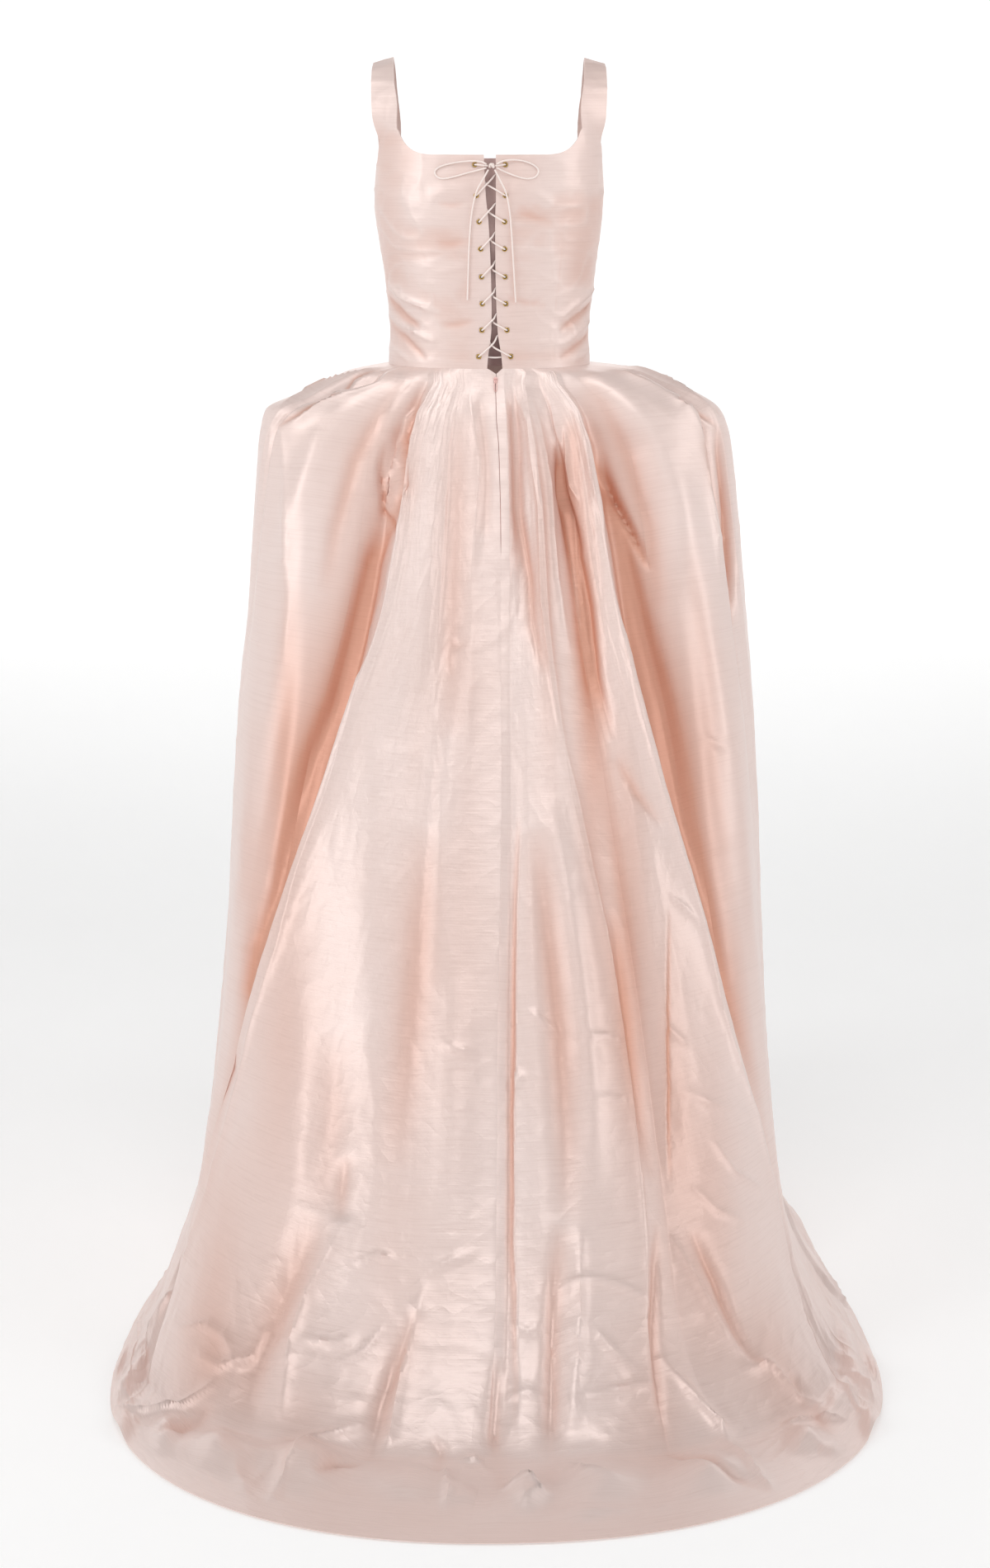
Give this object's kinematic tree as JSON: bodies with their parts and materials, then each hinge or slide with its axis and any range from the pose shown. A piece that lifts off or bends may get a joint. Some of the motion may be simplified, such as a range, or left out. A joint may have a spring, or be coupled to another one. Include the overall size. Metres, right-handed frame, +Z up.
{
  "type": "worn silk gown with a laced back and a train",
  "caption": "Full-length silk gown in its worn form: square-necked laced bodice, hips pleated out wide over side hoops, and a long train that spreads on the floor.",
  "frame": {"origin": "middle of the waist seam, where the wearer's waist holds the gown up", "axes": "+Z up; the wearer's left is +X; the back of the gown and its train face +Y"},
  "size_m": [0.886, 1.346, 1.498],
  "materials": {
    "silk": "blush silk taffeta with a soft sheen and fine cross slubs",
    "silk_shade": "the same silk in the shade behind the lacing",
    "lace_cord": "round satin cord and woven zip tape",
    "gold_metal": "polished gold-coloured eyelets",
    "pink_metal": "pink lacquered zip slider and pull"
  },
  "bodies": {
    "gown": {"skirt_back_left": "silk", "skirt_back_right": "silk", "skirt_side_left": "silk", "skirt_side_right": "silk", "skirt_front": "silk", "bodice_back_left": "silk", "bodice_back_right": "silk", "bodice_front": "silk", "modesty_panel": "silk_shade", "eyelet_left_1": "gold_metal", "eyelet_left_2": "gold_metal", "eyelet_left_3": "gold_metal", "eyelet_left_4": "gold_metal", "eyelet_left_5": "gold_metal", "eyelet_left_6": "gold_metal", "eyelet_left_7": "gold_metal", "eyelet_left_8": "gold_metal", "eyelet_right_1": "gold_metal", "eyelet_right_2": "gold_metal", "eyelet_right_3": "gold_metal", "eyelet_right_4": "gold_metal", "eyelet_right_5": "gold_metal", "eyelet_right_6": "gold_metal", "eyelet_right_7": "gold_metal", "eyelet_right_8": "gold_metal", "lace_run": "lace_cord", "lace_knot": "lace_cord", "lace_loop_left": "lace_cord", "lace_loop_right": "lace_cord", "lace_end_left": "lace_cord", "lace_end_right": "lace_cord", "zip_tape": "lace_cord", "zip_slider": "pink_metal"},
    "zip_pull": {"zip_pull": "pink_metal"}
  },
  "joints": [
    {"name": "pull_hinge", "type": "hinge", "parent": "gown", "child": "zip_pull", "pos_m": [-0.00801, 0.09968, -0.01132], "axis": [1, 0, 0], "range_deg": [0, 150]}
  ]
}
